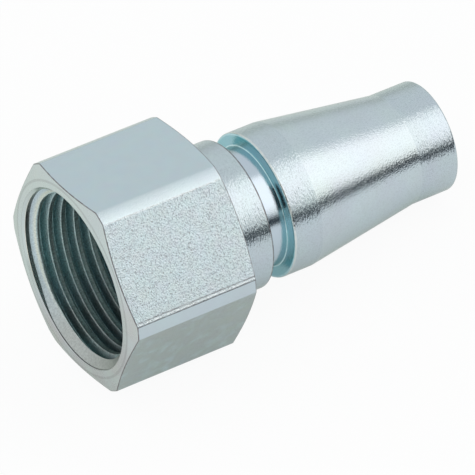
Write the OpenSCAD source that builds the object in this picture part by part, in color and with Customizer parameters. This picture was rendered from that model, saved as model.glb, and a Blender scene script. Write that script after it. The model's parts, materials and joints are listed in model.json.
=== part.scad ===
// Air-line plug adapter: a hexagon with a female pipe thread at one end and a
// quick-connect nose at the other, turned from one bar of plated steel.
// It lies as it comes to rest, on the rear edge of one flat and on the nose tip,
// with its axis in the X-Z plane and the nose towards +X.

/* [Hexagon] */
// Width across the flats, the spanner size
hex_across_flats = 19; // [18:0.5:24]
// Length of the hexagon from the mouth face to its rear face
hex_length = 12.8; // [11.5:0.1:18]
// Depth turned off each sharp corner, which leaves the narrow bands
corner_cut = 0.35; // [0.1:0.05:0.6]
// Radial width of the turned chamfer at each end, from the bands inwards
chamfer_width = 1.4; // [0.8:0.1:1.8]
// Slope of these chamfers against the end faces, in degrees
chamfer_angle = 15; // [10:1:30]

/* [Threaded mouth] */
// Diameter of the bore that carries the pipe thread, across its crests
thread_bore_d = 15.25; // [14:0.05:16]
// Depth of the full bore below the mouth face
thread_depth = 10.8; // [7:0.1:11]
// Diameter of the mouth at its face
mouth_d = 17.1; // [16.5:0.1:17.5]
// Size of the edge break round the mouth
mouth_break = 0.15; // [0.05:0.05:0.3]
// Depth at which the short straight wall inside the mouth turns into the lead-in
mouth_wall_depth = 0.45; // [0.35:0.05:0.6]
// Depth at which the conical lead-in meets the bore
lead_in_depth = 0.95; // [0.8:0.05:2.5]
// Point angle of the drill that made the bore, in degrees
drill_point_angle = 118; // [100:1:140]

/* [Collar and groove] */
// Diameter of the collar behind the hexagon
collar_d = 14; // [13:0.1:16]
// Length of the collar
collar_length = 3.8; // [2:0.1:8]
// Size of the edge break at the end of the collar
collar_break = 0.15; // [0.05:0.05:0.4]
// Diameter at the bottom of the latching groove
groove_d = 11.3; // [10.4:0.1:12]
// Width of the latching groove
groove_width = 2.2; // [1.8:0.1:4]
// Fillet in the bottom corners of the groove
groove_fillet = 0.15; // [0.05:0.05:0.6]

/* [Nose] */
// Diameter of the head, which the coupling's balls hold
head_d = 13.7; // [13:0.1:16]
// Length of the cylinder of the head, with its rounded rear corner
head_length = 2.95; // [2:0.05:6]
// Radius of the rear corner of the head
head_round = 0.2; // [0.1:0.05:0.6]
// Length of the taper from the head to the tip
taper_length = 11.55; // [8:0.05:16]
// Radius that blends the taper into the cylinders beside it
taper_blend = 1.5; // [0.5:0.5:8]
// Diameter of the tip
tip_d = 10.45; // [10:0.05:12]
// Length of the cylinder of the tip
tip_length = 3.9; // [2:0.1:8]
// Radius of the outer edge of the tip
tip_round = 0.2; // [0.1:0.05:0.6]

/* [Air passage] */
// Diameter of the bore through the nose
passage_d = 7.5; // [5:0.1:8.5]
// Size of the edge break where the passage opens at the tip
passage_break = 0.3; // [0.1:0.05:0.5]

/* [Hidden] */
$fn = 96;
// Number of steps in each rounded corner of an outline
arc_steps = 6;
// Overlap that keeps a cut from ending on a face
cut_margin = 1;

flat_r = hex_across_flats / 2;
corner_r = flat_r / cos(30) - corner_cut;
chamfer_in_r = corner_r - chamfer_width;
chamfer_length = chamfer_width * tan(chamfer_angle);

groove_start = hex_length + collar_length;
head_start = groove_start + groove_width;
taper_start = head_start + head_length;
taper_end = taper_start + taper_length;
total_length = taper_end + tip_length;

bore_r = thread_bore_d / 2;
passage_r = passage_d / 2;
drill_point_length = bore_r / tan(drill_point_angle / 2);

// The outline of the turned stem, as distance along the axis, radius and
// radius of the rounded corner there
stem_outline = [
    [hex_length / 2, 0, 0],
    [hex_length / 2, collar_d / 2, 0],
    [groove_start, collar_d / 2, collar_break],
    [groove_start, groove_d / 2, groove_fillet],
    [head_start, groove_d / 2, groove_fillet],
    [head_start, head_d / 2, head_round],
    [taper_start, head_d / 2, taper_blend],
    [taper_end, tip_d / 2, taper_blend],
    [total_length, tip_d / 2, tip_round],
    [total_length, 0, 0]
];

// At rest the part leans until the nose meets the floor. It turns about the
// rear edge of the lowest flat, and either the tip or the head lands first.
rest_edge_x = hex_length - (flat_r - chamfer_in_r) * tan(chamfer_angle);
lean = min(
    lean_onto(total_length - tip_round, tip_d / 2 - tip_round, tip_round),
    lean_onto(taper_start, head_d / 2, 0)
);
rest_height = flat_r * cos(lean) + rest_edge_x * sin(lean);

// The ends of the part along X, which its origin is centred between
mouth_end_x = -chamfer_in_r * sin(lean);
tip_end_x = (total_length - tip_round) * cos(lean) + (tip_d / 2 - tip_round) * sin(lean) + tip_round;

// Angle that brings a rounded edge down to the level of the resting edge
function lean_onto(x, r, edge_radius) =
    let (run = x - rest_edge_x, drop = flat_r - r)
    acos(edge_radius / norm([run, drop])) - atan2(run, drop);

// Vector of length 1 from one point towards another
function direction(from, to) = (to - from) / norm(to - from);

// Points of the arc that rounds corner b between its neighbours a and c
function rounded_corner(a, b, c, radius) =
    let (
        to_a = direction(b, a),
        to_c = direction(b, c),
        half_angle = acos(to_a * to_c) / 2,
        centre = b + (to_a + to_c) / norm(to_a + to_c) * radius / sin(half_angle),
        leg = radius / tan(half_angle),
        from_centre = b + to_a * leg - centre,
        to_centre = b + to_c * leg - centre,
        turn = 180 - 2 * half_angle
    )
    [for (step = [0 : arc_steps])
        let (share = step / arc_steps)
        centre + (sin((1 - share) * turn) * from_centre + sin(share * turn) * to_centre) / sin(turn)];

// Outline as [radius, distance] points, with its corners rounded
function rounded_outline(points) =
    let (count = len(points))
    [for (i = [0 : count - 1])
        let (
            a = points[(i + count - 1) % count],
            b = points[i],
            c = points[(i + 1) % count]
        )
        each b[2] == 0
            ? [[b[1], b[0]]]
            : rounded_corner([a[1], a[0]], [b[1], b[0]], [c[1], c[0]], b[2])];

// Hexagonal bar, cut to the turned blank that rounds its corners and ends
module hexagon() {
    intersection() {
        rotate([0, 0, 30])
            cylinder(h = hex_length, r = flat_r / cos(30), $fn = 6);
        rotate_extrude()
            polygon([
                [0, 0],
                [chamfer_in_r, 0],
                [corner_r, chamfer_length],
                [corner_r, hex_length - chamfer_length],
                [chamfer_in_r, hex_length],
                [0, hex_length]
            ]);
    }
}

// Collar, latching groove, head, taper and tip, turned in one piece
module stem() {
    rotate_extrude()
        polygon(rounded_outline(stem_outline));
}

// Threaded bore with its short wall, lead-in and drill point, seen from the mouth
module thread_bore() {
    rotate_extrude()
        polygon([
            [0, -cut_margin],
            [mouth_d / 2, -cut_margin],
            [mouth_d / 2, 0],
            [mouth_d / 2 - mouth_break, mouth_break],
            [mouth_d / 2 - mouth_break, mouth_wall_depth],
            [bore_r, lead_in_depth],
            [bore_r, thread_depth],
            [0, thread_depth + drill_point_length]
        ]);
}

// Passage from the drill point through the nose
module air_passage() {
    rotate_extrude()
        polygon([
            [0, thread_depth],
            [passage_r, thread_depth],
            [passage_r, total_length - passage_break],
            [passage_r + passage_break, total_length],
            [passage_r + passage_break, total_length + cut_margin],
            [0, total_length + cut_margin]
        ]);
}

// The whole adapter, standing on its mouth with the nose up
module upright_adapter() {
    difference() {
        union() {
            hexagon();
            stem();
        }
        thread_bore();
        air_passage();
    }
}

module adapter_body() {
    color("lightsteelblue")
        translate([-(mouth_end_x + tip_end_x) / 2, 0, rest_height])
            rotate([0, 90 + lean, 0])
                upright_adapter();
}

adapter_body();
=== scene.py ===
"""Looks of an air line plug adapter: one turned, zinc-plated body with a thread in its mouth."""

import json
import logging
import math
from dataclasses import dataclass, field
from enum import Enum

import bpy
import numpy as np
from mathutils import Euler, Matrix, Vector


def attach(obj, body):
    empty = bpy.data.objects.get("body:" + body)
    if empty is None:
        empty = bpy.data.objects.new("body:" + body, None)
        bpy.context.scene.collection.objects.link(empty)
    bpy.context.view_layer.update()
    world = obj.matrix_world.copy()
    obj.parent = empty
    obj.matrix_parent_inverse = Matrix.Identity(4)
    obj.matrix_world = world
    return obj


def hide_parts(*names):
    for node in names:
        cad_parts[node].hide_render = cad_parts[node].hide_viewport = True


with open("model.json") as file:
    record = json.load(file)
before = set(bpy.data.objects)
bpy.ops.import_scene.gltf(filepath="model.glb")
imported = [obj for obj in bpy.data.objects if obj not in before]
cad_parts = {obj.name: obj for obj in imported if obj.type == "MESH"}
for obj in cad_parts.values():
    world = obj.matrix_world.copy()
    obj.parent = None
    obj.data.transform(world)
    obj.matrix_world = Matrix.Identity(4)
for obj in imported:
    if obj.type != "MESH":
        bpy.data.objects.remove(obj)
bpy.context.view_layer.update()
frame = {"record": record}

MM = 0.001
BODY_NODE = "adapter_body"
# Distance in mm from the mouth face to the point of the thread's mount
MOUNT_DEPTH = 5.875
# The hexagon's flats, and the degrees from the middle of one to the middle of the next
FLATS = 6
FLAT_TURN = 60
log = logging.getLogger("adapter")

Tree = bpy.types.NodeTree
Socket = bpy.types.NodeSocket
# Where a share rises from 0 to 1, and where it falls back to 0
Window = tuple[float, float, float, float]


class Zone(Enum):
    """Parts of the surface with a finish each, in the order of the piece's material slots."""

    FACED = 0
    FLATS = 1
    RINGED = 2
    TAPER = 3
    NECK = 4
    GROOVE = 5
    THREAD = 6
    BANDS = 7


class EdgeTone(Enum):
    """Tone painted on a tight edge: none, a painted highlight, or a dark line of painted shade."""

    PLAIN = 0.0
    BRIGHT = 1.0
    LIGHT = 0.5
    FAINT = -0.25
    DARK = -1.0


def linear(hex_colour: str) -> tuple[float, float, float, float]:
    """Turn an sRGB hex colour into linear values with full alpha.

    Args:
        hex_colour: Six hex digits after a hash sign.

    Returns:
        Red, green, blue and alpha, linear.
    """
    srgb = [int(hex_colour[i : i + 2], 16) / 255 for i in (1, 3, 5)]
    values = [c / 12.92 if c <= 0.04045 else ((c + 0.055) / 1.055) ** 2.4 for c in srgb]
    return (*values, 1.0)


def unit(vectors: np.ndarray) -> np.ndarray:
    """Scale vectors along the last axis to length 1, and leave zero vectors alone."""
    lengths = np.linalg.norm(vectors, axis=-1, keepdims=True)
    return vectors / np.maximum(lengths, 1e-12)


def soft_min(a: np.ndarray, b: np.ndarray, blend: float) -> np.ndarray:
    """Smaller length: half the sum less half the root of squared difference plus squared blend."""
    return (a + b - np.sqrt((a - b) ** 2 + blend**2)) / 2


def soft_max(a: np.ndarray, b: np.ndarray, blend: float) -> np.ndarray:
    """Larger length: the smaller one of the two with their signs turned, turned back."""
    return -soft_min(-a, -b, blend)


def smooth_step(x: np.ndarray, start: float, end: float) -> np.ndarray:
    """Rise from 0 at start to 1 at end: three times the share squared, less twice its cube."""
    t = np.clip((x - start) / (end - start), 0, 1)
    return t * t * (3 - 2 * t)


def smooth_window(x: np.ndarray, window: Window) -> np.ndarray:
    """Rise from 0 to 1 between a window's first two numbers and fall back between its last two."""
    return smooth_step(x, *window[:2]) * (1 - smooth_step(x, *window[2:]))


def bell(x: np.ndarray, width: float) -> np.ndarray:
    """Bell of height 1: e to the power of minus the square of x over the width."""
    return np.exp(-((x / width) ** 2))


def along_rows(points: np.ndarray) -> np.ndarray:
    """Tangent along the first axis of a grid, where the shorter of the two steps counts for more.

    It is the slope of the parabola through three neighbouring points, by distance between them.

    Args:
        points: Grid of points.

    Returns:
        Tangents of the same shape, not of length 1.
    """
    step = np.diff(points, axis=0)
    length = np.maximum(np.linalg.norm(step, axis=-1, keepdims=True), 1e-9)
    slope = step / length
    before, after = length[:-1], length[1:]
    middle = (after * slope[:-1] + before * slope[1:]) / (before + after)
    return np.concatenate([slope[:1], middle, slope[-1:]])


def add_object(name: str, data: bpy.types.ID) -> bpy.types.Object:
    """Make an object of a mesh, lamp or camera and put it in the scene.

    Args:
        name: The object's name.
        data: Its mesh, lamp or camera.

    Returns:
        The object, at the origin.
    """
    made = bpy.data.objects.new(name, data)
    bpy.context.scene.collection.objects.link(made)
    return made


def add_node(
    tree: Tree, kind: str, settings: dict[str, object] | None = None, **inputs: object
) -> bpy.types.Node:
    """Add a node, set its properties and set or link its inputs.

    Args:
        tree: The node tree.
        kind: The node's type.
        settings: Properties of the node by name.
        **inputs: Input names with underscores for spaces, or input numbers after an underscore. A
            socket is linked, and any other value is set.

    Returns:
        The node.
    """
    node = tree.nodes.new(kind)
    for name, value in (settings or {}).items():
        setattr(node, name, value)
    for name, value in inputs.items():
        key = int(name[1:]) if name[1:].isdigit() else name.replace("_", " ")
        if isinstance(value, Socket):
            tree.links.new(value, node.inputs[key])
        else:
            node.inputs[key].default_value = value
    return node


def bare_material(name: str) -> bpy.types.Material:
    """Make a material whose node tree is empty.

    Args:
        name: The material's name.

    Returns:
        The material.
    """
    made = bpy.data.materials.new(name)
    made.use_nodes = True
    made.node_tree.nodes.clear()
    return made


def facing(azimuth: float, elevation: float) -> Matrix:
    """Turn of a thing that looks at the origin from a direction, in degrees."""
    turn = (math.radians(90 - elevation), 0, math.radians(azimuth))
    return Euler(turn, "XYZ").to_matrix()


@dataclass(frozen=True)
class TurnedAxis:
    """Where the turned axis lies: the middle of the mouth face, and the way to the nose."""

    mouth: np.ndarray
    along: np.ndarray

    @classmethod
    def from_record(cls, record: dict, mount_depth: float) -> "TurnedAxis":
        """Take the axis from the record's thread mount.

        Args:
            record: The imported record.
            mount_depth: Distance in mm from the mouth face to the mount's point.

        Returns:
            The axis, in mm.
        """
        mount = next(m for m in record["mounts"] if m["name"] == "pipe_thread")
        along = -unit(np.array(mount["axis"], float))
        return cls(np.array(mount["pos_m"]) / MM - along * mount_depth, along)

    @property
    def lean(self) -> float:
        """Angle in radians by which the nose points below the horizontal."""
        return math.atan2(-self.along[2], self.along[0])

    def place(self, axial: np.ndarray, radius: np.ndarray, angle: np.ndarray) -> np.ndarray:
        """Turn distances along and from the axis into places.

        A place is the mouth's middle, plus the distance times the axis, plus the radius times the
        way outward: the angle's cosine times down, plus its sine times sideways. The angle counts
        from the flat that faces the floor, right-handed about the axis.

        Args:
            axial: Distances from the mouth face, in mm.
            radius: Distances from the axis, in mm.
            angle: Angles round the axis, in radians.

        Returns:
            Points in mm, on a last axis of three.
        """
        down = np.array([-math.sin(self.lean), 0, -math.cos(self.lean)])
        side = np.cross(self.along, down)
        outward = np.cos(angle)[..., None] * down + np.sin(angle)[..., None] * side
        return self.mouth + axial[..., None] * self.along + radius[..., None] * outward


@dataclass(frozen=True)
class Corner:
    """A corner of the turned outline: distance from the mouth face, radius, and its round, in mm.

    The zone is the finish from this corner to the next, and the tone is the painted highlight or
    painted shade on the corner.
    """

    axial: float | np.ndarray
    radius: float | np.ndarray
    round: float = 0.0
    zone: Zone = Zone.FACED
    tone: EdgeTone | np.ndarray = EdgeTone.PLAIN

    @property
    def tone_value(self) -> float | np.ndarray:
        """The tone as a number, or as a number for each column."""
        return self.tone.value if isinstance(self.tone, EdgeTone) else self.tone


@dataclass(frozen=True)
class Strip:
    """A grid of surface: rows along the outline, columns round the axis.

    Each point has its edge tone, and each row of faces between two rows of points has its zone.
    """

    axial: np.ndarray
    radius: np.ndarray
    edge: np.ndarray
    zone: np.ndarray


@dataclass(frozen=True)
class OutlineRounder:
    """Rounds the corners of an outline: steps of an arc, and the mm held flat on each side."""

    arc_steps: int = 6
    hold: float = 0.05

    def rounded(self, corners: list[Corner], columns: int) -> Strip:
        """Round every inner corner of an outline that may differ from column to column.

        An arc is the sweep from one tangent point to the other about the centre on the corner's
        bisector, and a row is held just before and after it, so that flats stay flat.

        Args:
            corners: The outline in order. Its first and last corners stay sharp.
            columns: Number of columns round the axis.

        Returns:
            The rows with their tones and zones. A corner's first half is in the zone before it.
        """
        spread = np.zeros(columns)
        outline = [np.broadcast_arrays(c.axial, c.radius, spread)[:2] for c in corners]
        points = np.moveaxis(np.array(outline).astype(float), 1, 2)
        rounds = np.array([c.round for c in corners[1:-1]])[:, None, None]
        here = points[1:-1]
        back, ahead = unit(points[:-2] - here), unit(points[2:] - here)
        half = np.arccos(np.clip((back * ahead).sum(-1, keepdims=True), -1, 1)) / 2
        centre = here + unit(back + ahead) * rounds / np.sin(half)
        leg = rounds / np.tan(half)
        start, end = here + back * leg, here + ahead * leg
        turn = math.pi - 2 * half
        share = np.linspace(0, 1, self.arc_steps + 1)[:, None, None, None]
        of_start, of_end = np.sin((1 - share) * turn), np.sin(share * turn)
        sweep = of_start * (start - centre) + of_end * (end - centre)
        arcs = centre + sweep / np.sin(turn)
        hold = np.minimum(self.hold, leg)
        rows = np.concatenate([(start + back * hold)[None], arcs, (end + ahead * hold)[None]])
        rows = np.swapaxes(rows, 0, 1).reshape(-1, columns, 2)
        rows = np.concatenate([points[:1], rows, points[-1:]])
        on_arc = np.array([0] + [1] * (self.arc_steps + 1) + [0])
        tones = np.array([np.broadcast_to(c.tone_value, columns) for c in corners[1:-1]])
        edge = np.pad((tones[:, None] * on_arc[:, None]).reshape(-1, columns), ((1, 1), (0, 0)))
        zones = np.array([c.zone.value for c in corners])
        before = np.repeat(zones[:1], 2 + self.arc_steps // 2)
        after = np.repeat(zones[1:-1], self.arc_steps + 3)
        zone = np.concatenate([before, after])[: len(rows) - 1]
        return Strip(rows[..., 0], rows[..., 1], edge, zone)


@dataclass
class HexagonHead:
    """The hexagon, with turned bands on its corners and a turned chamfer at each end.

    Sizes are in mm and angles in degrees. The close columns are given by their distance from the
    line where a flat meets a band, and the even ones start at a distance from it. Pitting and the
    share of the greyer tint hold a value for each flat, counted from the lowest; the tint is
    painted shade, more on the lower flats. A painted border line, a highlight or a dark line of
    shade, has its side of the flat, its distance from that border and its tone.
    """

    across_flats: float = 19.0
    length: float = 12.8
    corner_cut: float = 0.353
    chamfer_width: float = 1.4
    chamfer_angle: float = 15.0
    band_blend: float = 0.012
    face_round: float = 0.7
    edge_round: float = 0.055
    rear_round: float = 0.05
    close_on_band: tuple[float, ...] = (1.0, 0.5, 0.22, 0.07)
    close_on_flat: tuple[float, ...] = (2.7, 2.2, 1.75, 1.3, 0.85, 0.5, 0.22, 0.07)
    even_from: float = 3.7
    even_columns: int = 22
    pitting: tuple[float, ...] = (0.3, 0.7, 0.4, 0.03, 1.0, 0.45)
    # Share of the greyer tint on each flat, which is painted shade on the lower flats
    cast: tuple[float, ...] = (0.5, 0.7, 0.3, 0.05, 0.15, 1.0)
    # The flat with painted lines along its borders: painted highlights and dark lines of shade
    lined_flat: float = 240.0
    line_width: float = 0.3
    painted_border_lines: tuple[tuple[int, float, float], ...] = (
        (1, 0.1, -0.9), (1, 0.9, 0.8), (1, 1.75, -0.8), (-1, 0.4, 0.4),
    )

    @property
    def flat_radius(self) -> float:
        """Distance from the axis to a flat."""
        return self.across_flats / 2

    @property
    def corner_radius(self) -> float:
        """Radius of the turned bands on the corners."""
        return self.flat_radius / math.cos(math.radians(FLAT_TURN / 2)) - self.corner_cut

    @property
    def chamfer_start(self) -> float:
        """Radius at which the end chamfers begin."""
        return self.corner_radius - self.chamfer_width

    @property
    def band_edge(self) -> float:
        """Angle in degrees from the middle of a flat to the edge of the band beside it."""
        return math.degrees(math.acos(self.flat_radius / self.corner_radius))

    def angles(self) -> np.ndarray:
        """Angles of the columns round the axis, in radians, close where a flat meets a band.

        Returns:
            Angles that start at a corner, rise through one turn and end on the same corner.
        """
        on_band, on_flat = np.array(self.close_on_band), np.array(self.close_on_flat)
        before_edge = np.concatenate([-on_band, on_flat[::-1]]) - self.band_edge
        last = self.band_edge - self.even_from
        even = np.linspace(-last, last, self.even_columns)
        sector = np.concatenate([[-FLAT_TURN / 2], before_edge, even, -before_edge[::-1]])
        turn = (sector + FLAT_TURN * np.arange(FLATS)[:, None]).ravel()
        return np.radians(np.append(turn, turn[0] + 360))

    def from_middle(self, angles: np.ndarray) -> np.ndarray:
        """Angles in degrees from the middle of the nearest flat."""
        return (np.degrees(angles) + FLAT_TURN / 2) % FLAT_TURN - FLAT_TURN / 2

    def radius_at(self, angles: np.ndarray) -> np.ndarray:
        """Radius of the bar: a flat's distance over the cosine from its middle, or the band's."""
        on_flat = self.flat_radius / np.cos(np.radians(self.from_middle(angles)))
        return soft_min(on_flat, self.corner_radius, self.band_blend)

    def on_flat(self, angles: np.ndarray) -> np.ndarray:
        """True for the angles that lie on a flat and not on a band."""
        return np.abs(self.from_middle(angles)) < self.band_edge

    def of_flat(self, values: tuple[float, ...], angles: np.ndarray) -> np.ndarray:
        """Value of the flat at each angle. The flats are counted from the lowest one."""
        return np.array(values)[np.floor(np.degrees(angles) / FLAT_TURN + 0.5).astype(int) % FLATS]

    def painted_border_tone(self, angles: np.ndarray) -> np.ndarray:
        """Painted lines beside the borders of one flat: painted highlights and painted shade.

        Along its lower border run a dark, a bright and a dark line, and a bright line runs along
        the upper one. Each is a bell of the angle from the border.

        Args:
            angles: Angles of the columns, in radians.

        Returns:
            Tones from -1 to 1.
        """
        from_middle = np.degrees(angles) - self.lined_flat
        tone = np.zeros_like(angles)
        for side, place, strength in self.painted_border_lines:
            tone += strength * bell(self.band_edge - side * from_middle - place, self.line_width)
        return tone

    def corners(self, angles: np.ndarray) -> list[Corner]:
        """Outline from the mouth face to the rear face.

        A chamfer reaches as far along the axis as the bar stands out beyond its start, times the
        tangent of its angle.

        Args:
            angles: Angles of the columns, in radians.

        Returns:
            The corners in order.
        """
        bar = self.radius_at(angles)
        reach = (bar - self.chamfer_start) * math.tan(math.radians(self.chamfer_angle))
        rear = self.length - reach
        return [
            # The chamfers' edges carry dark lines of painted shade, and a faint one at the mouth
            # face
            Corner(0.0, self.chamfer_start, self.face_round, tone=EdgeTone.FAINT),
            Corner(reach, bar, self.edge_round, Zone.FLATS, EdgeTone.DARK),
            Corner(rear, bar, self.edge_round, Zone.FACED, EdgeTone.DARK),
            Corner(self.length, self.chamfer_start, self.rear_round),
        ]


@dataclass
class GroovedNose:
    """Collar, latching groove, head, taper, tip and the passage through them, in mm."""

    start: float = 12.8
    collar_radius: float = 7.0
    collar_length: float = 3.8
    groove_radius: float = 5.65
    groove_width: float = 2.2
    head_radius: float = 6.85
    head_length: float = 2.95
    taper_length: float = 11.55
    tip_radius: float = 5.225
    tip_length: float = 3.9
    passage_radius: float = 3.75
    passage_break: float = 0.3
    foot_round: float = 0.08
    collar_round: float = 0.15
    groove_fillet: float = 0.15
    head_fillet: float = 0.08
    head_round: float = 0.2
    taper_blend: float = 1.5
    tip_round: float = 0.22
    passage_round: float = 0.08

    @property
    def groove_start(self) -> float:
        """Distance from the mouth face to the groove."""
        return self.start + self.collar_length

    @property
    def head_start(self) -> float:
        """Distance from the mouth face to the head."""
        return self.groove_start + self.groove_width

    @property
    def taper_start(self) -> float:
        """Distance from the mouth face to the taper."""
        return self.head_start + self.head_length

    @property
    def tip_start(self) -> float:
        """Distance from the mouth face to the cylinder of the tip."""
        return self.taper_start + self.taper_length

    @property
    def length(self) -> float:
        """Distance from the mouth face to the end of the tip."""
        return self.tip_start + self.tip_length

    def corners(self) -> list[Corner]:
        """Outline from the hexagon's rear face to the inside of the passage.

        Returns:
            The corners in order.
        """
        # Painted shade on the collar's end, painted highlights on the groove's inner corner and
        # head rim
        dark, bright, light = EdgeTone.DARK, EdgeTone.BRIGHT, EdgeTone.LIGHT
        opening = self.passage_radius + self.passage_break
        return [
            Corner(self.start, self.collar_radius, self.foot_round, Zone.RINGED),
            Corner(self.groove_start, self.collar_radius, self.collar_round, Zone.GROOVE, dark),
            Corner(self.groove_start, self.groove_radius, self.groove_fillet, Zone.NECK),
            Corner(self.head_start, self.groove_radius, self.head_fillet, Zone.GROOVE, bright),
            Corner(self.head_start, self.head_radius, self.head_round, Zone.RINGED, light),
            Corner(self.taper_start, self.head_radius, self.taper_blend, Zone.TAPER),
            Corner(self.tip_start, self.tip_radius, self.taper_blend, Zone.RINGED),
            Corner(self.length, self.tip_radius, self.tip_round),
            Corner(self.length, opening, self.passage_round),
            Corner(self.length - self.passage_break, self.passage_radius, self.passage_round),
        ]


@dataclass
class ThreadedMouth:
    """Mouth, short wall, lead-in, right-hand pipe thread and drill point, in mm and degrees.

    Angles count from the lowest point of the mouth. The short wall is high on its high side, and
    painted dark on its shaded side, as painted shade. Off the lit side the mouth is painted greyer
    and darker, and the wall's edges dark, as painted shade; on the lit side its break has a painted
    highlight. Rows by a crest are given from its edge, and rows in a root in shares of the root's
    tangent.
    """

    bore_radius: float = 7.625
    mouth_radius: float = 8.55
    face_round: float = 0.04
    ring_radius: float = 8.39
    ring_shift: float = 0.1
    ring_shift_angle: float = 321.0
    break_extra: float = 0.02
    break_round: float = 0.05
    wall_round: float = 0.03
    wall_margin: float = 0.05
    low_wall: float = 0.08
    high_wall: float = 0.42
    high_side: Window = (28.0, 62.0, 190.0, 230.0)
    # The lit side of the mouth, off which it is painted greyer and darker as painted shade
    lit_side: Window = (15.0, 75.0, 230.0, 300.0)
    # Where the short wall is painted dark, and how dark: painted shade
    shaded_wall_side: Window = (85.0, 105.0, 190.0, 225.0)
    wall_shade_tone: float = -0.9
    lead_in_depth: float = 1.0
    lead_in_shift: float = 0.05
    lead_in_blend: float = 0.02
    bore_depth: float = 10.8
    bore_round: float = 0.05
    drill_point_angle: float = 118.0
    drill_point_round: float = 0.1
    pitch: float = 1.337
    root_round: float = 0.08
    # Painted shade where the flanks go down into the roots
    root_shade_tone: float = -0.6
    root_shade: tuple[float, float] = (0.4, 0.6)
    crest_width: float = 0.44
    crest_blend: float = 0.03
    crest_gap: float = 0.02
    crest_fade: float = 0.1
    # Painted highlight on each crest's edge towards the mouth
    glint_width: float = 0.04
    glint_tone: float = 0.5
    flank_angle: float = 27.5
    first_crest: float = 2.25
    first_crest_angle: float = 51.0
    helix_start: float = 0.74
    helix_end: float = 10.2
    fade_out: tuple[float, float] = (0.9, 0.1)
    turns_before: int = 3
    rows_by_crest: tuple[float, ...] = (-0.05, -0.02, 0.0, 0.02, 0.05)
    row_on_flank: float = -0.04
    rows_in_root: tuple[float, ...] = (1.5, 1.1, 0.9, 0.6, 0.3)

    @property
    def root_tangent(self) -> float:
        """Distance from the middle of a root to the point where its round meets a flank."""
        return self.root_round * math.cos(math.radians(self.flank_angle))

    def ring(self, angle: np.ndarray) -> tuple[np.ndarray, np.ndarray, np.ndarray]:
        """Radius and depths of the short wall inside the mouth.

        The wall is a circle off the axis: its radius is its mean plus the shift times the cosine of
        the angle from the shift. The break before it is a little deeper than it is wide, and the
        wall is high on the far side of the mouth and almost runs out elsewhere.

        Args:
            angle: Angles round the axis, in radians.

        Returns:
            Radius of the wall, and the depths at which it begins and ends.
        """
        shift = self.ring_shift * np.cos(angle - math.radians(self.ring_shift_angle))
        radius = self.ring_radius + shift
        begin = self.mouth_radius - radius + self.break_extra
        high = smooth_window(np.degrees(angle) % 360, self.high_side)
        return radius, begin, begin + self.low_wall + (self.high_wall - self.low_wall) * high

    def lead_in_radius(self, axial: np.ndarray, angle: np.ndarray) -> np.ndarray:
        """Radius of the lead-in cone: it falls in a straight line from the short wall to the bore.

        Args:
            axial: Distances from the mouth face.
            angle: Angles round the axis, in radians.

        Returns:
            The radii.
        """
        wide, _, start = self.ring(angle)
        end = self.lead_in_depth + self.lead_in_shift * np.cos(angle)
        return wide + (self.bore_radius - wide) * (axial - start) / (end - start)

    def beyond_crest(self, axial: np.ndarray, angle: np.ndarray) -> np.ndarray:
        """Distance along the axis from the nearest crest, less than 0 on its side to the mouth."""
        turns = (angle - math.radians(self.first_crest_angle)) / (2 * math.pi)
        return (((axial - self.first_crest) / self.pitch - turns + 0.5) % 1 - 0.5) * self.pitch

    def groove_depth(self, from_crest: np.ndarray) -> np.ndarray:
        """Depth of the thread's groove.

        A flank's depth is the distance past half a crest over the tangent of the flank's angle. The
        root is a circle that touches both flanks: its centre lies short of where they would meet.

        Args:
            from_crest: Distances along the axis from the middle of the nearest crest.

        Returns:
            Depths below the crest.
        """
        slope = math.tan(math.radians(self.flank_angle))
        flank = (from_crest - self.crest_width / 2) / slope
        apex = (self.pitch - self.crest_width) / 2 / slope
        centre = apex - self.root_round / math.sin(math.radians(self.flank_angle))
        from_root = self.pitch / 2 - from_crest
        arc = centre + np.sqrt(np.maximum(self.root_round**2 - from_root**2, 0))
        depth = np.where(from_root < self.root_tangent, arc, flank)
        return soft_max(depth, 0 * flank, self.crest_blend)

    def wall_radius(self, axial: np.ndarray, angle: np.ndarray) -> np.ndarray:
        """Radius of the wall where the thread is cut.

        The groove's depth depends on the distance from the nearest turn of the crest's helix. It
        fades out before the bore's end, and the lead-in cone takes over where it is the wider.

        Args:
            axial: Distances from the mouth face.
            angle: Angles round the axis, in radians.

        Returns:
            Radii, the larger of the lead-in's and the thread's.
        """
        cut = self.groove_depth(np.abs(self.beyond_crest(axial, angle)))
        fade_start, fade_end = (self.helix_end - distance for distance in self.fade_out)
        bore = self.bore_radius + cut * (1 - smooth_step(axial, fade_start, fade_end))
        return soft_max(bore, self.lead_in_radius(axial, angle), self.lead_in_blend)

    def tone_at(self, axial: np.ndarray, angle: np.ndarray) -> np.ndarray:
        """Edge tone of the threaded wall.

        It is a painted highlight in a narrow bell on the crest's edge towards the mouth, and
        painted shade where the flanks go down into the root.

        Args:
            axial: Distances from the mouth face.
            angle: Angles round the axis, in radians.

        Returns:
            Tones from -1 to 1.
        """
        beyond = self.beyond_crest(axial, angle)
        glint = bell(beyond + self.crest_width / 2, self.glint_width)
        root = smooth_step(np.abs(beyond), *self.root_shade)
        return self.glint_tone * glint + (1 - glint) * self.root_shade_tone * root

    def crest_at(self, axial: np.ndarray, angle: np.ndarray) -> np.ndarray:
        """Share of worn crest: 1 on the flat of the crest, falling to 0 on each side.

        Args:
            axial: Distances from the mouth face.
            angle: Angles round the axis, in radians.

        Returns:
            Shares from 0 to 1.
        """
        edge = self.crest_width / 2
        start = self.crest_gap - edge
        window = (start, start + self.crest_fade, edge, edge + self.crest_fade)
        return smooth_window(self.beyond_crest(axial, angle), window)

    def low_shade_share(self, angle: np.ndarray) -> np.ndarray:
        """Share of greyer painted shade: 1 low in the mouth, 0 from its far side up."""
        return 1 - smooth_window(np.degrees(angle) % 360, self.lit_side)

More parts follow.
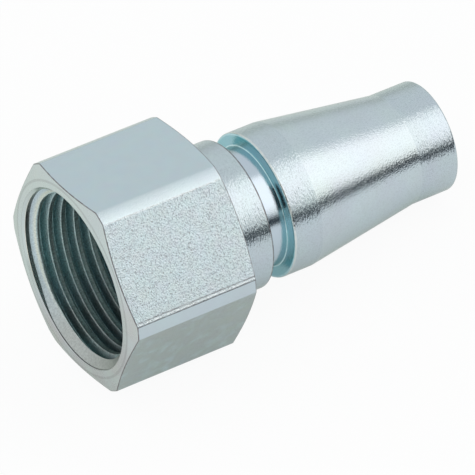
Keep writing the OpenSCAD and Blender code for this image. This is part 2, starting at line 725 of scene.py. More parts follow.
    def painted_wall_shade(self, axial: np.ndarray, radius: np.ndarray, angle: np.ndarray) -> np.ndarray:
        """Painted shade, dark, on the short wall over a part of its far side.

        Args:
            axial: Distances from the mouth face.
            radius: Distances from the axis.
            angle: Angles round the axis, in radians.

        Returns:
            Tones from -1 to 0.
        """
        _, begin, end = self.ring(angle)
        on_wall = (axial > begin) & (axial < end + self.wall_margin) & (radius < self.mouth_radius)
        return self.wall_shade_tone * smooth_window(np.degrees(angle) % 360, self.shaded_wall_side) * on_wall

    def outer_corners(self, angles: np.ndarray) -> list[Corner]:
        """Outline from the start of the thread out to the mouth face.

        Args:
            angles: Angles of the columns, in radians.

        Returns:
            The corners in order. The wall's deeper edge has painted shade low in the mouth, and
            the break before the wall painted shade there and a painted highlight above.
        """
        start = np.full_like(angles, self.helix_start)
        radius, begin, end = self.ring(angles)
        low = self.low_shade_share(angles)
        return [
            Corner(start, self.wall_radius(start, angles), zone=Zone.THREAD),
            # Wall edges: painted shade low in the mouth, a painted highlight on the break above
            Corner(end, radius, self.wall_round, tone=-low),
            Corner(begin, radius, self.break_round, tone=1 - 2 * low),
            Corner(0.0, self.mouth_radius, self.face_round, tone=EdgeTone.FAINT),
        ]

    def inner_corners(self, angles: np.ndarray, passage_radius: float) -> list[Corner]:
        """Outline from the passage over the drill point to the end of the thread.

        The drill point reaches past the bore by the difference of the two radii over the tangent of
        half its angle.

        Args:
            angles: Angles of the columns, in radians.
            passage_radius: Radius of the passage that the drill point opens into.

        Returns:
            The corners in order.
        """
        slope = math.tan(math.radians(self.drill_point_angle / 2))
        point = self.bore_depth + (self.bore_radius - passage_radius) / slope
        end = np.full_like(angles, self.helix_end)
        return [
            Corner(point, passage_radius, self.drill_point_round),
            Corner(self.bore_depth, self.bore_radius, self.bore_round, Zone.THREAD),
            Corner(end, self.wall_radius(end, angles), zone=Zone.THREAD),
        ]

    def helix_rows(self, angles: np.ndarray) -> tuple[np.ndarray, np.ndarray]:
        """Rows that run along the helix, from the thread's end back to its start.

        A row keeps its phase in the thread, so its distance grows by one pitch in one turn. Past
        the ends of the thread it is held on the end circle, where its points are welded into one.

        Args:
            angles: Angles of the columns, in radians.

        Returns:
            Distances and radii of the rows.
        """
        crest, middle = self.crest_width / 2, self.pitch / 2
        by_crest = crest + np.array(self.rows_by_crest)
        on_flank = (crest + middle) / 2 + self.row_on_flank
        in_root = middle - self.root_tangent * np.array(self.rows_in_root)
        half = np.concatenate([[0.0], by_crest, [on_flank], in_root])
        phases = np.concatenate([half, [middle], self.pitch - half[:0:-1]])
        turns = np.arange(-self.turns_before, math.ceil(self.helix_end / self.pitch) + 1)
        offsets = (turns[:, None] * self.pitch + phases).ravel()[::-1]
        swing = (angles - math.radians(self.first_crest_angle)) / (2 * math.pi) * self.pitch
        axial = self.first_crest + offsets[:, None] + swing
        axial = np.clip(axial, self.helix_start, self.helix_end)
        return axial, self.wall_radius(axial, np.broadcast_to(angles, axial.shape))


# Settings that several nodes have. A colour Mix takes its share at input 0, the colour for a share
# of 0 at input 6 and the colour for a share of 1 at input 7, and gives its result at output 2.
COLOUR_MIX = {"data_type": "RGBA"}
MULTIPLY = {"operation": "MULTIPLY"}
CLAMPED = {"operation": "MULTIPLY", "use_clamp": True}
SCALE = {"operation": "SCALE"}
# Values of the noise at which a pattern starts and ends. It lies mostly between 0.3 and 0.7.
WHOLE_SPAN = {"From_Min": 0.3, "From_Max": 0.7}
SPECK_SPAN = {"From_Min": 0.3, "From_Max": 0.55}
PIT_SPAN = {"From_Min": 0.55, "From_Max": 0.68}
EDGE_BREAK_SPAN = {"From_Min": 0.35, "From_Max": 0.6}
CHATTER_SPAN = {"From_Min": 0.35, "From_Max": 0.65}
# Steepest slope of the noise, and of the mask of the pits, in heights for each cell of the pattern
NOISE_SLOPE = 0.8
PIT_MASK_SLOPE = 4
# Share of the radius in the length along the turned outline, which has to grow on faces as well
OUTLINE_RADII = 1.37


@dataclass(frozen=True)
class ZincFinish:
    """Zinc plate with clear blue passivate on machined steel. Sizes in mm, slopes in degrees."""

    name: str
    colour: str = "#C6D3D8"
    tint: str = "#C2CFD8"
    graze: str = "#E6EBE4"
    # Colours of painted highlights and of dark lines of painted shade; the pits take the dark one
    # too
    bright_edge: str = "#F2F2EA"
    dark_edge: str = "#797376"
    roughness: float = 0.24
    roughness_spread: float = 0.02
    roughness_patch: float = 2.0
    mark_pitch: float = 0.17
    mark_length: float = 2.5
    mark_slope: float = 1.5
    grain_size: float = 0.3
    grain_slope: float = 0.6
    grain_along: float = 1.0
    grain_around: float = 1.0
    drift_size: float = 2.9
    hue_drift: float = 0.12
    speckle: float = 0.0
    # Noise that breaks the painted edge tones into broken lines
    edge_break_size: float = 0.45
    edge_break_low: float = 0.5
    pit_size: float = 0.0
    pit_slope: float = 16.0
    pit_darkness: float = 0.2
    anisotropy: float = 0.0

    def material(self, axis: TurnedAxis) -> bpy.types.Material:
        """Build the material on Object coordinates turned to the part's axis.

        Args:
            axis: The turned axis.

        Returns:
            The material.
        """
        made = bpy.data.materials.new(self.name)
        made.use_nodes = True
        tree = made.node_tree
        shader = tree.nodes["Principled BSDF"]
        place = self.axis_coordinates(tree, axis)
        shader.inputs["Metallic"].default_value = 1.0
        shader.inputs["Specular Tint"].default_value = linear(self.graze)
        tree.links.new(self.colour_of(tree, place), shader.inputs["Base Color"])
        tree.links.new(self.roughness_of(tree, place), shader.inputs["Roughness"])
        tree.links.new(self.relief(tree, place), shader.inputs["Normal"])
        if self.anisotropy:
            shader.inputs["Anisotropic"].default_value = self.anisotropy
            x, y, z = axis.along
            across_marks = add_node(tree, "ShaderNodeCombineXYZ", X=x, Y=y, Z=z)
            tree.links.new(across_marks.outputs[0], shader.inputs["Tangent"])
        return made

    def axis_coordinates(self, tree: Tree, axis: TurnedAxis) -> Socket:
        """Coordinates in mm with X along the turned axis from the mouth face, and the rest across.

        Args:
            tree: The node tree.
            axis: The turned axis.

        Returns:
            The coordinates.
        """
        coordinates = add_node(tree, "ShaderNodeTexCoord")
        return add_node(
            tree, "ShaderNodeMapping", {"vector_type": "TEXTURE"},
            Vector=coordinates.outputs["Object"], Location=Vector(axis.mouth) * MM,
            Rotation=(0, axis.lean, 0), Scale=(MM, MM, MM),
        ).outputs[0]

    def streaks(self, tree: Tree, place: Socket) -> Socket:
        """Noise drawn out round the axis: narrow along the turned outline and long across it.

        The length along the outline is the distance from the mouth plus a share of the radius,
        which grows on cylinders and on faces alike.

        Args:
            tree: The node tree.
            place: Coordinates in mm, with X from the mouth face.

        Returns:
            The noise.
        """
        x, y, z = add_node(tree, "ShaderNodeSeparateXYZ", Vector=place).outputs
        across = add_node(tree, "ShaderNodeCombineXYZ", Y=y, Z=z).outputs[0]
        radius = add_node(tree, "ShaderNodeVectorMath", {"operation": "LENGTH"}, _0=across)
        outline = add_node(
            tree, "ShaderNodeMath", {"operation": "MULTIPLY_ADD"},
            _0=radius.outputs["Value"], _1=OUTLINE_RADII, _2=x,
        )
        drawn_out = add_node(tree, "ShaderNodeCombineXYZ", X=outline.outputs[0], Y=y, Z=z)
        along, around = 1 / self.mark_pitch, 1 / self.mark_length
        scaled = add_node(
            tree, "ShaderNodeVectorMath", MULTIPLY,
            _0=drawn_out.outputs[0], _1=(along, around, around),
        )
        return add_node(
            tree, "ShaderNodeTexNoise", Vector=scaled.outputs[0], Scale=1.0, Detail=1.5
        ).outputs["Fac"]

    def grains(self, tree: Tree, place: Socket, size: float, detail: float) -> Socket:
        """Noise in grains of a size, drawn out along and round the axis as the finish has them.

        Args:
            tree: The node tree.
            place: Coordinates in mm, with X from the mouth face.
            size: Size of a grain, in mm.
            detail: Finer layers of the noise.

        Returns:
            The noise.
        """
        along, around = 1 / (size * self.grain_along), 1 / (size * self.grain_around)
        cells = add_node(
            tree, "ShaderNodeVectorMath", MULTIPLY, _0=place, _1=(along, around, around)
        )
        return add_node(
            tree, "ShaderNodeTexNoise", Vector=cells.outputs[0], Scale=1.0, Detail=detail
        ).outputs["Fac"]

    def pits(self, tree: Tree, place: Socket) -> Socket:
        """1 in the small pits and 0 between them, times the strength that the flat has.

        Args:
            tree: The node tree.
            place: Coordinates in mm, with X from the mouth face.

        Returns:
            The mask.
        """
        noise = self.grains(tree, place, self.pit_size, 1.5)
        deep = add_node(tree, "ShaderNodeMapRange", Value=noise, **PIT_SPAN)
        strength = add_node(tree, "ShaderNodeAttribute", {"attribute_name": "pits"})
        return add_node(
            tree, "ShaderNodeMath", MULTIPLY, _0=deep.outputs[0], _1=strength.outputs["Fac"]
        ).outputs[0]

    def plate_of(self, tree: Tree, place: Socket) -> Socket:
        """Colour of the plate away from edges: it drifts in tint and hue, with specks and pits. Its
        second tint, raised on the lower flats and low in the mouth, is painted shade there.

        Args:
            tree: The node tree.
            place: Coordinates in mm, with X from the mouth face.

        Returns:
            The colour.
        """
        drift = add_node(
            tree, "ShaderNodeTexNoise", Vector=place, Scale=1 / self.drift_size, Detail=3.0
        )
        spread = add_node(
            tree, "ShaderNodeMapRange",
            Value=drift.outputs["Fac"], **WHOLE_SPAN, To_Min=0.5, To_Max=1.5,
        )
        # Share of the second tint, which is painted shade on the lower flats and low in the mouth
        cast = add_node(tree, "ShaderNodeAttribute", {"attribute_name": "cast"})
        share = add_node(
            tree, "ShaderNodeMath", CLAMPED, _0=cast.outputs["Fac"], _1=spread.outputs[0]
        )
        tinted = add_node(
            tree, "ShaderNodeMix", COLOUR_MIX,
            _0=share.outputs[0], _6=linear(self.colour), _7=linear(self.tint),
        )
        plate = add_node(
            tree, "ShaderNodeMix", {"data_type": "RGBA", "blend_type": "SOFT_LIGHT"},
            _0=self.hue_drift, _6=tinted.outputs[2], _7=drift.outputs["Color"],
        ).outputs[2]
        if self.speckle:
            specks = self.grains(tree, place, self.grain_size, 1.0)
            shade = add_node(
                tree, "ShaderNodeMapRange", Value=specks, **SPECK_SPAN, To_Min=1 - self.speckle
            )
            plate = add_node(
                tree, "ShaderNodeVectorMath", SCALE, _0=plate, Scale=shade.outputs[0]
            ).outputs[0]
        if self.pit_size:
            dark = add_node(
                tree, "ShaderNodeMath", MULTIPLY, _0=self.pits(tree, place), _1=self.pit_darkness
            )
            plate = add_node(
                tree, "ShaderNodeMix", COLOUR_MIX,
                _0=dark.outputs[0], _6=plate, _7=linear(self.dark_edge),
            ).outputs[2]
        return plate

    def colour_of(self, tree: Tree, place: Socket) -> Socket:
        """Base colour: the plate's, with painted highlights and dark lines of painted shade on
        edges, in broken lines.

        Args:
            tree: The node tree.
            place: Coordinates in mm, with X from the mouth face.

        Returns:
            The colour.
        """
        edge = add_node(tree, "ShaderNodeAttribute", {"attribute_name": "edge"})
        broken = add_node(
            tree, "ShaderNodeTexNoise", Vector=place, Scale=1 / self.edge_break_size, Detail=3.0
        )
        edge_break = add_node(
            tree, "ShaderNodeMapRange",
            Value=broken.outputs["Fac"], **EDGE_BREAK_SPAN, To_Min=self.edge_break_low,
        )
        tone = add_node(
            tree, "ShaderNodeMath", MULTIPLY, _0=edge.outputs["Fac"], _1=edge_break.outputs[0]
        )
        colour = self.plate_of(tree, place)
        for sign, edge_colour in ((-1.0, self.dark_edge), (1.0, self.bright_edge)):
            share = add_node(tree, "ShaderNodeMath", CLAMPED, _0=tone.outputs[0], _1=sign)
            colour = add_node(
                tree, "ShaderNodeMix", COLOUR_MIX,
                _0=share.outputs[0], _6=colour, _7=linear(edge_colour),
            ).outputs[2]
        return colour

    def roughness_of(self, tree: Tree, place: Socket) -> Socket:
        """Roughness that varies a little in patches.

        Args:
            tree: The node tree.
            place: Coordinates in mm, with X from the mouth face.

        Returns:
            The roughness.
        """
        patches = add_node(
            tree, "ShaderNodeTexNoise", Vector=place, Scale=1 / self.roughness_patch, Detail=3.0
        )
        return add_node(
            tree, "ShaderNodeMapRange", Value=patches.outputs["Fac"], **WHOLE_SPAN,
            To_Min=self.roughness - self.roughness_spread,
            To_Max=self.roughness + self.roughness_spread,
        ).outputs[0]

    def relief(self, tree: Tree, place: Socket) -> Socket:
        """Lathe marks round the axis, the plated grain and the pits, as bumps.

        A bump's height is its slope times its size, over the slope of its pattern in a cell.

        Args:
            tree: The node tree.
            place: Coordinates in mm, with X from the mouth face.

        Returns:
            The normal.
        """
        lathe = add_node(
            tree, "ShaderNodeBump", Height=self.streaks(tree, place), Strength=1.0,
            Distance=math.radians(self.mark_slope) * self.mark_pitch / NOISE_SLOPE * MM,
        )
        plated = add_node(
            tree, "ShaderNodeBump", Height=self.grains(tree, place, self.grain_size, 2.0),
            Distance=math.radians(self.grain_slope) * self.grain_size / NOISE_SLOPE * MM,
            Strength=1.0, Normal=lathe.outputs[0],
        )
        if not self.pit_size:
            return plated.outputs[0]
        return add_node(
            tree, "ShaderNodeBump", {"invert": True}, Height=self.pits(tree, place),
            Distance=math.radians(self.pit_slope) * self.pit_size / PIT_MASK_SLOPE * MM,
            Strength=1.0, Normal=plated.outputs[0],
        ).outputs[0]


@dataclass(frozen=True)
class CutThreadFinish(ZincFinish):
    """Finish of the threaded wall, with its own colours for the lead-in and the worn crests.

    The lead-in's edge starts and ends, and the lead-in ends, at distances from the mouth face.
    """

    lead_in_colour: str = "#D3E4EC"
    # Painted shade low in the mouth, and a painted highlight at the lead-in's inner edge
    lead_in_shade: str = "#C4C8C5"
    lead_in_highlight: str = "#E6EDE3"
    crest_colour: str = "#B9CBCA"
    edge_start: float = 0.78
    edge_end: float = 0.91
    lead_in_end: float = 0.99
    lead_in_fade: float = 0.03
    chatter_size: float = 0.14
    chatter_low: float = 0.75
    chatter_high: float = 1.1
    lead_in_chatter: float = 0.22

    def cut_of(self, tree: Tree, place: Socket, chatter: Socket) -> Socket:
        """Colour of the thread: the cut wall's, paler on the worn crests, times the tap's chatter.

        Args:
            tree: The node tree.
            place: Coordinates in mm, with X from the mouth face.
            chatter: Noise drawn out along the axis.

        Returns:
            The colour.
        """
        crest = add_node(tree, "ShaderNodeAttribute", {"attribute_name": "crest"})
        worn = add_node(
            tree, "ShaderNodeMix", COLOUR_MIX, _0=crest.outputs["Fac"],
            _6=super().colour_of(tree, place), _7=linear(self.crest_colour),
        )
        strength = add_node(
            tree, "ShaderNodeMapRange", Value=chatter, **CHATTER_SPAN,
            To_Min=self.chatter_low, To_Max=self.chatter_high,
        )
        return add_node(
            tree, "ShaderNodeVectorMath", SCALE, _0=worn.outputs[2], Scale=strength.outputs[0]
        ).outputs[0]

    def lead_in_of(self, tree: Tree, depth: Socket, chatter: Socket) -> Socket:
        """Colour of the lead-in: pale; greyer low in the mouth, as painted shade; elsewhere a cream
        painted highlight at its inner edge.

        Args:
            tree: The node tree.
            depth: Distance in mm from the mouth face.
            chatter: Noise drawn out along the axis.

        Returns:
            The colour.
        """
        low = add_node(tree, "ShaderNodeAttribute", {"attribute_name": "cast"}).outputs["Fac"]
        high = add_node(tree, "ShaderNodeMath", {"operation": "SUBTRACT"}, _0=1.0, _1=low)
        inner = add_node(
            tree, "ShaderNodeMapRange",
            Value=depth, From_Min=self.edge_start, From_Max=self.edge_end,
        )
        cream = add_node(
            tree, "ShaderNodeMath", MULTIPLY, _0=inner.outputs[0], _1=high.outputs[0]
        )
        outer = add_node(
            tree, "ShaderNodeMix", COLOUR_MIX,
            _0=low, _6=linear(self.lead_in_colour), _7=linear(self.lead_in_shade),
        )
        bored = add_node(
            tree, "ShaderNodeMix", COLOUR_MIX,
            _0=cream.outputs[0], _6=outer.outputs[2], _7=linear(self.lead_in_highlight),
        )
        faint = add_node(
            tree, "ShaderNodeMapRange",
            Value=chatter, **CHATTER_SPAN, To_Min=1 - self.lead_in_chatter,
        )
        return add_node(
            tree, "ShaderNodeVectorMath", SCALE, _0=bored.outputs[2], Scale=faint.outputs[0]
        ).outputs[0]

    def colour_of(self, tree: Tree, place: Socket) -> Socket:
        """Base colour: the lead-in's as far as it reaches, and then the thread's.

        Args:
            tree: The node tree.
            place: Coordinates in mm, with X from the mouth face.

        Returns:
            The colour.
        """
        depth = add_node(tree, "ShaderNodeSeparateXYZ", Vector=place).outputs["X"]
        chatter = self.grains(tree, place, self.chatter_size, 2.0)
        threaded = add_node(
            tree, "ShaderNodeMapRange", Value=depth,
            From_Min=self.lead_in_end - self.lead_in_fade,
            From_Max=self.lead_in_end + self.lead_in_fade,
        )
        return add_node(
            tree, "ShaderNodeMix", COLOUR_MIX, _0=threaded.outputs[0],
            _6=self.lead_in_of(tree, depth, chatter), _7=self.cut_of(tree, place, chatter),
        ).outputs[2]


# Facing and boring leave fine rings, and the passivate gives them a faint green cast.
FACED_ZINC = ZincFinish(
    "zinc_on_faced_steel", colour="#D0DAD9", tint="#C5C8C8", bright_edge="#FFFCEE",
    roughness=0.27, mark_slope=0.8, edge_break_low=0.8,
)
# Drawn bar under the plate has fine pits that sparkle where a lamp's edge is mirrored. Pits and
# grain are drawn about 0.1 mm wide, which is coarser than real ones, so that they show.
# Its greyer tint, taken more on the lower flats, is painted shade.
FLAT_ZINC = ZincFinish(
    "zinc_on_drawn_bar", colour="#C7D6DD", tint="#B4BEBF", bright_edge="#EEF2F3",
    roughness=0.24, mark_slope=0.0, grain_size=0.11, grain_slope=8.0, grain_around=1.4,
    pit_size=0.105, pit_slope=24.0, pit_darkness=0.24, drift_size=1.2,
)
# Coarse feed of the lathe tool on collar, head and tip spreads highlights along the part and
# speckles them. The marks stand 0.11 mm apart, which is coarser than real ones, so that they show.
RINGED_ZINC = ZincFinish(
    "zinc_on_rough_turned_steel", colour="#CAD6DB", roughness=0.2, anisotropy=0.4,
    mark_pitch=0.11, mark_slope=14.0, mark_length=0.35, grain_size=0.11, grain_slope=3.0,
    speckle=0.14,
)
# A finish pass leaves the taper nearly bright, with a fine grain that frays the edges of mirrored
# things. The grain is drawn 0.14 mm wide, which is coarser than real, so that it shows.
TAPER_ZINC = ZincFinish(
    "zinc_on_fine_turned_steel", colour="#D0DBDF", roughness=0.15, anisotropy=0.4,
    mark_slope=1.0, grain_size=0.14, grain_slope=6.5, speckle=0.08,
)
# Bar turned down on the corners of the hexagon is calm and satin.
BAND_ZINC = ZincFinish(
    "zinc_on_turned_corners", colour="#CAD7DC", roughness=0.22, anisotropy=0.4,
    mark_slope=1.0, grain_size=0.12, grain_slope=4.5,
)
# The bottom of the groove is smooth, and slightly violet where the passivate is thickest.
NECK_ZINC = ZincFinish(
    "zinc_on_groove_bottom", colour="#C6D0DD", tint="#C3D3DC", bright_edge="#D8F2F8",
    roughness=0.14, mark_slope=0.6, grain_size=0.1, grain_slope=3.0,
)
# Where two surfaces face each other the plate is thin, and its passivate shows blue-green.
GROOVE_ZINC = ZincFinish(
    "zinc_on_groove_wall", colour="#90C6CE", tint="#A0CAD4", bright_edge="#D8F2F8",
    roughness=0.14, mark_slope=5.0, mark_pitch=0.25, mark_length=6.0,
)
# A cut thread is light on its worn crests, with a painted highlight along each crest's edge and
# painted shade in its roots; low in the mouth it is painted greyer and darker.
THREAD_ZINC = CutThreadFinish(
    "zinc_on_cut_thread", colour="#C2DFE2", tint="#8E9C9E", bright_edge="#D2D6CC",
    dark_edge="#A4C6CA", roughness=0.36, grain_size=0.13, grain_slope=10.0, grain_along=2.0,
    edge_break_size=0.14, edge_break_low=0.3,
)


@dataclass
class AdapterBody:
    """The whole body: its sub-assemblies, its one closed mesh and its finishes by zone."""

    axis: TurnedAxis
    hexagon: HexagonHead = field(default_factory=HexagonHead)
    nose: GroovedNose = field(default_factory=GroovedNose)
    mouth: ThreadedMouth = field(default_factory=ThreadedMouth)
    rounder: OutlineRounder = field(default_factory=OutlineRounder)
    weld_distance: float = 1e-5
    plain_tint: float = 0.5
    finishes: dict[Zone, ZincFinish] = field(default_factory=lambda: {
        Zone.FACED: FACED_ZINC,
        Zone.FLATS: FLAT_ZINC,
        Zone.RINGED: RINGED_ZINC,
        Zone.TAPER: TAPER_ZINC,
        Zone.NECK: NECK_ZINC,
        Zone.GROOVE: GROOVE_ZINC,
        Zone.THREAD: THREAD_ZINC,
        Zone.BANDS: BAND_ZINC,
    })

    def outside(self, angles: np.ndarray) -> Strip:
        """The outer surface and the passage, as one grid from the lead-in round to the drill point.

        Args:
            angles: Angles of the columns, in radians.

        Returns:
            The grid with its zones.
        """
        corners = [
            *self.mouth.outer_corners(angles),
            *self.hexagon.corners(angles),
            *self.nose.corners(),
            *self.mouth.inner_corners(angles, self.nose.passage_radius),
        ]
        return self.rounder.rounded(corners, len(angles))

    def inside(self, angles: np.ndarray) -> Strip:
        """The thread, as one grid along its helix.

        Args:
            angles: Angles of the columns, in radians.

        Returns:
            The grid with its zones.
        """
        axial, radius = self.mouth.helix_rows(angles)
        tone = self.mouth.tone_at(axial, np.broadcast_to(angles, axial.shape))
        return Strip(axial, radius, tone, np.full(len(axial) - 1, Zone.THREAD.value))

    def grid(self, strip: Strip, angles: np.ndarray) -> tuple[np.ndarray, np.ndarray]:
        """Points and outward normals of a strip.

        The normal is the cross product of the tangent round the axis and the one along the outline.

        Args:
            strip: The strip, with one column more on each side than is kept.
            angles: Angles of its columns.

        Returns:
            Points in mm and normals, without the spare columns.
        """
        turned = np.broadcast_to(angles, strip.axial.shape)
        points = self.axis.place(strip.axial, strip.radius, turned)
        round_axis = np.swapaxes(along_rows(np.swapaxes(points, 0, 1)), 0, 1)
        normals = unit(np.cross(round_axis, along_rows(points)))
        return points[:, 1:-1], normals[:, 1:-1]

    def marks(self, strip: Strip, angles: np.ndarray) -> dict[str, np.ndarray]:
        """Attributes of a strip's points.

        They are the edge tone of painted highlights and painted shade, the strength of the pits,
        the share of the second tint and the share of worn thread crest. The tint's share is the
        flat's own on the hexagon, the mouth's as far as the bore goes, and plain elsewhere; on the
        lower flats and low in the mouth it is painted shade.

        Args:
            strip: The strip, with its spare columns.
            angles: Angles of the columns that are kept, in radians.

        Returns:
            Values by name, each a grid of the strip's kept points.
        """
        axial, radius = strip.axial[:, 1:-1], strip.radius[:, 1:-1]
        flat_rows = np.zeros(len(axial), bool)
        flat_rows[:-1] |= strip.zone == Zone.FLATS.value
        flat_rows[1:] |= strip.zone == Zone.FLATS.value
        on_bar = flat_rows[:, None] & self.hexagon.on_flat(angles)
        by_mouth = axial < self.mouth.bore_depth
        turned_tint_and_shade = np.where(by_mouth, self.mouth.low_shade_share(angles), self.plain_tint)
        flat_tint_and_shade = self.hexagon.of_flat(self.hexagon.cast, angles)
        pitting = self.hexagon.of_flat(self.hexagon.pitting, angles)
        # Edge tones with the painted border lines and the painted wall shade added
        tone = strip.edge[:, 1:-1] + flat_rows[:, None] * self.hexagon.painted_border_tone(angles)
        tone = tone + self.mouth.painted_wall_shade(axial, radius, angles)
        return {
            "edge": np.clip(tone, -1, 1),
            "pits": np.broadcast_to(pitting, axial.shape),
            "cast": np.where(on_bar, flat_tint_and_shade, turned_tint_and_shade),
            "crest": self.mouth.crest_at(axial, np.broadcast_to(angles, axial.shape)),
        }

    def mesh(self) -> bpy.types.Mesh:
        """Build the closed mesh with its own normals, zones and attributes.

        Returns:
            The mesh, in metres.
        """
        angles = self.hexagon.angles()
        wide = np.concatenate([[angles[-2] - 2 * math.pi], angles, [angles[1] + 2 * math.pi]])
        on_flat = self.hexagon.on_flat((angles[:-1] + angles[1:]) / 2)
        points, normals, triangles, zones, marks = [], [], [], [], []
        first = 0
        for strip in (self.outside(wide), self.inside(wide)):
            place, normal = self.grid(strip, wide)
            rows, columns = place.shape[:2]
            index = np.arange(rows * columns).reshape(rows, columns) + first
            a, b, c, d = index[:-1, :-1], index[:-1, 1:], index[1:, 1:], index[1:, :-1]
            triangles += [np.stack(t, -1).reshape(-1, 3) for t in ((a, b, c), (a, c, d))]
            face_zone = np.repeat(strip.zone[:, None], columns - 1, 1)
            face_zone[(face_zone == Zone.FLATS.value) & ~on_flat] = Zone.BANDS.value
            zones += [face_zone.ravel()] * 2
            points.append(place.reshape(-1, 3))
            normals.append(normal.reshape(-1, 3))
            marks.append({name: grid.ravel() for name, grid in self.marks(strip, angles).items()})
            first += rows * columns
        surface = [np.concatenate(parts) for parts in (points, normals, triangles, zones)]
        by_name = {name: np.concatenate([mark[name] for mark in marks]) for name in marks[0]}
        return self.welded(*surface, by_name)

    def welded(
        self,
        points: np.ndarray,
        normals: np.ndarray,
        triangles: np.ndarray,
        zones: np.ndarray,
        marks: dict[str, np.ndarray],
    ) -> bpy.types.Mesh:
        """Join points that lie in one place, drop the triangles that this closes up, fill a mesh.

        Args:
            points: Points in mm.
            normals: A normal for each point.
            triangles: Three point numbers for each triangle.
            zones: A zone for each triangle.
            marks: Attributes by name, with a value for each point.

        Returns:
            The mesh, in metres.
        """
        cells = np.round(points / self.weld_distance).astype(np.int64)
        _, kept, joined = np.unique(cells, axis=0, return_index=True, return_inverse=True)
        triangles = joined.ravel()[triangles]
        a, b, c = triangles.T
        whole = (a != b) & (b != c) & (a != c)
        triangles, zones = triangles[whole], zones[whole]
        summed = np.zeros((len(kept), 3))
        np.add.at(summed, joined.ravel(), normals)
        mesh = bpy.data.meshes.new("adapter_shell")
        mesh.from_pydata((points[kept] * MM).tolist(), [], triangles.tolist())
        mesh.polygons.foreach_set("material_index", zones.astype(np.int32))
        mesh.polygons.foreach_set("use_smooth", np.ones(len(zones), bool))
        for name, values in marks.items():
            attribute = mesh.attributes.new(name, "FLOAT", "POINT")
            attribute.data.foreach_set("value", values[kept].astype(np.float32))
        mesh.normals_split_custom_set_from_vertices(unit(summed).tolist())
        mesh.update()
        return mesh

    def build(self) -> bpy.types.Object:
        """Make the piece, dress it and tie it to the frame.

        Returns:
            The piece.
        """
        piece = add_object("plated_adapter", self.mesh())
        for zone in Zone:
            piece.data.materials.append(self.finishes[zone].material(self.axis))
        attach(piece, "root")
        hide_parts(BODY_NODE)
        return piece


@dataclass(frozen=True)
class StudioCamera:
    """The photograph's camera: direction in degrees, distance and aim in mm, and lens in mm."""

    azimuth: float = -23.138
    elevation: float = 39.1998
    roll: float = -15.2171
    distance: float = 552.727
    aim: tuple[float, float, float] = (-4.3162, -6.1284, 11.4197)
    focal_length: float = 479.766
    sensor: float = 36.0
    near: float = 10.0
    far: float = 10000.0

    def build(self) -> bpy.types.Object:
        """Make the camera and set it as the scene's own.

        Returns:
            The camera.
        """
        data = bpy.data.cameras.new("studio_camera")
        data.lens, data.sensor_width = self.focal_length, self.sensor
        data.clip_start, data.clip_end = self.near * MM, self.far * MM
        camera = add_object("studio_camera", data)
        upright = facing(self.azimuth, self.elevation)
        turned = upright @ Matrix.Rotation(math.radians(self.roll), 3, "Z")
        camera.location = (Vector(self.aim) + turned.col[2] * self.distance) * MM
        camera.rotation_euler = turned.to_euler()
        bpy.context.scene.camera = camera
        return camera


@dataclass(frozen=True)
class SoftBox:
    """A lamp with an even face that looks at the part, with its sizes in m."""

    name: str
    azimuth: float
    elevation: float
    distance: float
    width: float
    height: float
    radiance: float
    colour: str

    def build(self) -> bpy.types.Object:
        """Make the lamp. Its power is the radiance times its area times pi.

        The sky behind the lamp shows through it, so the radiance is what it adds there.

        Returns:
            The lamp.
        """
        data = bpy.data.lights.new(self.name, "AREA")
        data.shape, data.size, data.size_y = "RECTANGLE", self.width, self.height
        data.energy = self.radiance * self.width * self.height * math.pi
        data.color = linear(self.colour)[:3]
        lamp = add_object(self.name, data)
        turn = facing(self.azimuth, self.elevation)
        lamp.location = turn.col[2] * self.distance
        lamp.rotation_euler = turn.to_euler()
        lamp.visible_camera = False
        return lamp


@dataclass(frozen=True)
class DarkCard:
    """A dark card bent round the part, seen only in the metal. Azimuths in degrees, sizes in m."""

    name: str
    radius: float
    first_azimuth: float
    last_azimuth: float
    low: float
    high: float
    colour: str
    panels: int = 32

    def build(self) -> bpy.types.Object:
        """Make the card, an arc of a cylinder about the vertical: two rows of points, joined.

        Returns:
            The card.
        """
        count = self.panels + 1
        turn = np.radians(np.linspace(self.first_azimuth, self.last_azimuth, count))
        arc = np.stack([np.sin(turn), -np.cos(turn)], -1) * self.radius
        rows = [np.column_stack([arc, np.full(count, z)]) for z in (self.low, self.high)]
        first = np.arange(self.panels)
        faces = np.stack([first, first + 1, first + count + 1, first + count], -1)
        mesh = bpy.data.meshes.new(self.name)
        mesh.from_pydata(np.concatenate(rows).tolist(), [], faces.tolist())
        card = add_object(self.name, mesh)
        # Matt black paper gives one even dark shape in the metal.
        paper = bare_material("dark_card")
        tree = paper.node_tree
        tone = add_node(tree, "ShaderNodeEmission", Color=linear(self.colour), Strength=1.0)
        add_node(tree, "ShaderNodeOutputMaterial", Surface=tone.outputs[0])
        mesh.materials.append(paper)
        card.visible_camera = card.visible_diffuse = False
        card.visible_shadow = card.visible_transmission = False
        return card


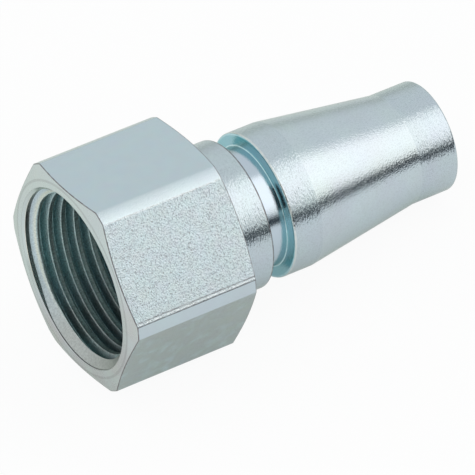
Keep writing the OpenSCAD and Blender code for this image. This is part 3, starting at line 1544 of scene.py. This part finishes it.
@dataclass(frozen=True)
class Studio:
    """White table, dark cards that the metal mirrors, sky and lamp.

    A level is the share of its colour that a thing shows. The sky reaches its own at a height over
    the horizon, given as a share of the way up.
    """

    table_radius: float = 3.0
    table_points: int = 64
    table_colour: str = "#F4F5F5"
    table_white: float = 0.93
    mirrored_white: float = 0.36
    sky_colour: str = "#FAFEFF"
    sky_level: float = 0.84
    sky_height: float = 0.35
    horizon_colour: str = "#E6EAE4"
    horizon_level: float = 0.66
    cards: tuple[DarkCard, ...] = (
        DarkCard("table_edge_card", 0.048, 23.0, 75.0, 0.0, 0.0088, "#2D363C"),
        DarkCard("collar_card", 0.048, -15.0, 23.0, 0.0, 0.0135, "#2D363C"),
        DarkCard("camera_side_card", 0.45, -35.0, 8.0, 0.13, 0.72, "#20262A"),
    )
    lamp: SoftBox = SoftBox("key_softbox", 50.0, 31.0, 0.9, 0.84, 1.0, 0.71, "#FFF3EB")

    def table(self) -> bpy.types.Object:
        """A round white table top under the part, made as one ring of points about its middle.

        Returns:
            The table top.
        """
        turn = np.linspace(0, 2 * math.pi, self.table_points, endpoint=False)
        ring = np.stack([np.cos(turn), np.sin(turn), 0 * turn], -1) * self.table_radius
        mesh = bpy.data.meshes.new("table_top")
        mesh.from_pydata(ring.tolist(), [], [list(range(self.table_points))])
        made = add_object("table_top", mesh)
        mesh.materials.append(self.table_material())
        return made

    def table_material(self) -> bpy.types.Material:
        """White laminate: white to the camera, less so in mirror views, with a soft shadow.

        Returns:
            The material.
        """
        made = bare_material("white_laminate_table")
        tree = made.node_tree
        path = add_node(tree, "ShaderNodeLightPath").outputs
        seen = add_node(
            tree, "ShaderNodeMath", {"operation": "MAXIMUM"},
            _0=path["Is Camera Ray"], _1=path["Is Transmission Ray"],
        )
        mirrored = add_node(
            tree, "ShaderNodeMath", MULTIPLY, _0=path["Is Glossy Ray"], _1=self.mirrored_white
        )
        share = add_node(
            tree, "ShaderNodeMath", {"operation": "MULTIPLY_ADD"},
            _0=seen.outputs[0], _1=self.table_white, _2=mirrored.outputs[0],
        )
        matte = add_node(tree, "ShaderNodeBsdfDiffuse", Color=linear(self.table_colour))
        glow = add_node(tree, "ShaderNodeEmission", Color=(1, 1, 1, 1), Strength=1.0)
        both = add_node(
            tree, "ShaderNodeMixShader",
            _0=share.outputs[0], _1=matte.outputs[0], _2=glow.outputs[0],
        )
        add_node(tree, "ShaderNodeOutputMaterial", Surface=both.outputs[0])
        return made

    def sky(self) -> bpy.types.World:
        """A soft sky that dims towards the horizon, and white where the camera sees past the table.

        Returns:
            The world.
        """
        world = bpy.data.worlds.new("studio_sky")
        bpy.context.scene.world = world
        world.use_nodes = True
        tree = world.node_tree
        tree.nodes.clear()
        direction = add_node(tree, "ShaderNodeTexCoord").outputs["Generated"]
        height = add_node(tree, "ShaderNodeSeparateXYZ", Vector=direction).outputs["Z"]
        rise = add_node(tree, "ShaderNodeMapRange", Value=height, From_Max=self.sky_height)
        ends = ((self.horizon_colour, self.horizon_level), (self.sky_colour, self.sky_level))
        low, high = ((*(c * level for c in linear(colour)[:3]), 1) for colour, level in ends)
        dome = add_node(tree, "ShaderNodeMix", COLOUR_MIX, _0=rise.outputs[0], _6=low, _7=high)
        path = add_node(tree, "ShaderNodeLightPath")
        seen = add_node(
            tree, "ShaderNodeMix", COLOUR_MIX,
            _0=path.outputs["Is Camera Ray"], _6=dome.outputs[2], _7=(1, 1, 1, 1),
        )
        shown = add_node(tree, "ShaderNodeBackground", Color=seen.outputs[2], Strength=1.0)
        add_node(tree, "ShaderNodeOutputWorld", Surface=shown.outputs[0])
        return world

    def build(self) -> None:
        """Set up the table, the sky, the cards, the lamp and the plain view transform."""
        stage = [self.table(), self.sky(), *(card.build() for card in self.cards)]
        for item in (*stage, self.lamp.build()):
            log.info("studio %s", item.name)
        bpy.context.scene.view_settings.view_transform = "Standard"


def main() -> None:
    """Build the camera, the studio and the adapter, and report each."""
    logging.basicConfig(level=logging.INFO, format="%(name)s: %(message)s")
    log.info("camera %s", StudioCamera().build().name)
    Studio().build()
    axis = TurnedAxis.from_record(frame["record"], MOUNT_DEPTH)
    piece = AdapterBody(axis).build()
    log.info("piece %s with %d triangles", piece.name, len(piece.data.polygons))


if __name__ == "__main__":
    main()
